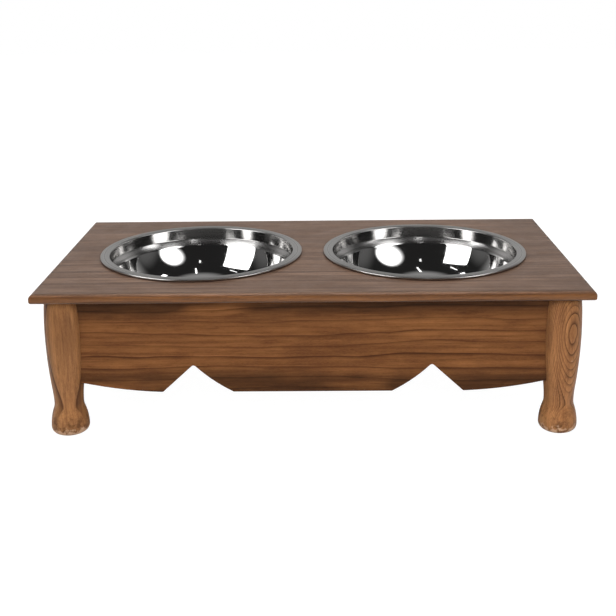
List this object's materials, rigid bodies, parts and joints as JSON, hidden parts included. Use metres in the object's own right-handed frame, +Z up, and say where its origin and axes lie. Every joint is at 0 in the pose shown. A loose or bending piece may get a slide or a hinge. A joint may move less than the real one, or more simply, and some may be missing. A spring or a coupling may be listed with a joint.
{
  "type": "elevated dog feeder",
  "caption": "Low wooden feeder table on turned legs with shaped aprons; steel bowls hang in round holes in its top and lift straight out.",
  "frame": {"origin": "on the floor, under the middle of the table", "axes": "+X along the table's length to the viewer's right, +Y from front to back, +Z up"},
  "size_m": [0.562, 0.305, 0.159],
  "materials": {
    "top_wood": "satin walnut stain, fine grain along the length",
    "apron_wood": "satin walnut stain, warm brown",
    "leg_wood": "satin walnut stain, lighter, upright grain",
    "block_wood": "plain sawn hardwood, unstained",
    "fastener_steel": "bright zinc plate",
    "bowl_steel": "stainless, brushed flange and band, polished well"
  },
  "bodies": {
    "table": {"top_board": "top_wood", "front_apron": "apron_wood", "rear_apron": "apron_wood", "left_apron": "apron_wood", "right_apron": "apron_wood", "leg_front_left": "leg_wood", "leg_front_right": "leg_wood", "leg_rear_left": "leg_wood", "leg_rear_right": "leg_wood", "corner_block_front_left": "block_wood", "corner_block_front_right": "block_wood", "corner_block_rear_left": "block_wood", "corner_block_rear_right": "block_wood", "front_rail_block": "block_wood", "rear_rail_block": "block_wood", "leg_bolts": "fastener_steel", "leg_washers": "fastener_steel", "leg_nuts": "fastener_steel", "apron_screws": "fastener_steel", "top_screws": "fastener_steel"},
    "bowl_left": {"bowl_left": "bowl_steel"},
    "bowl_right": {"bowl_right": "bowl_steel"}
  },
  "joints": [
    {"name": "bowl_left_lift", "type": "slide", "parent": "table", "child": "bowl_left", "axis": [0, 0, 1], "range_m": [0, 0.08]},
    {"name": "bowl_right_lift", "type": "slide", "parent": "table", "child": "bowl_right", "axis": [0, 0, 1], "range_m": [0, 0.08]}
  ]
}
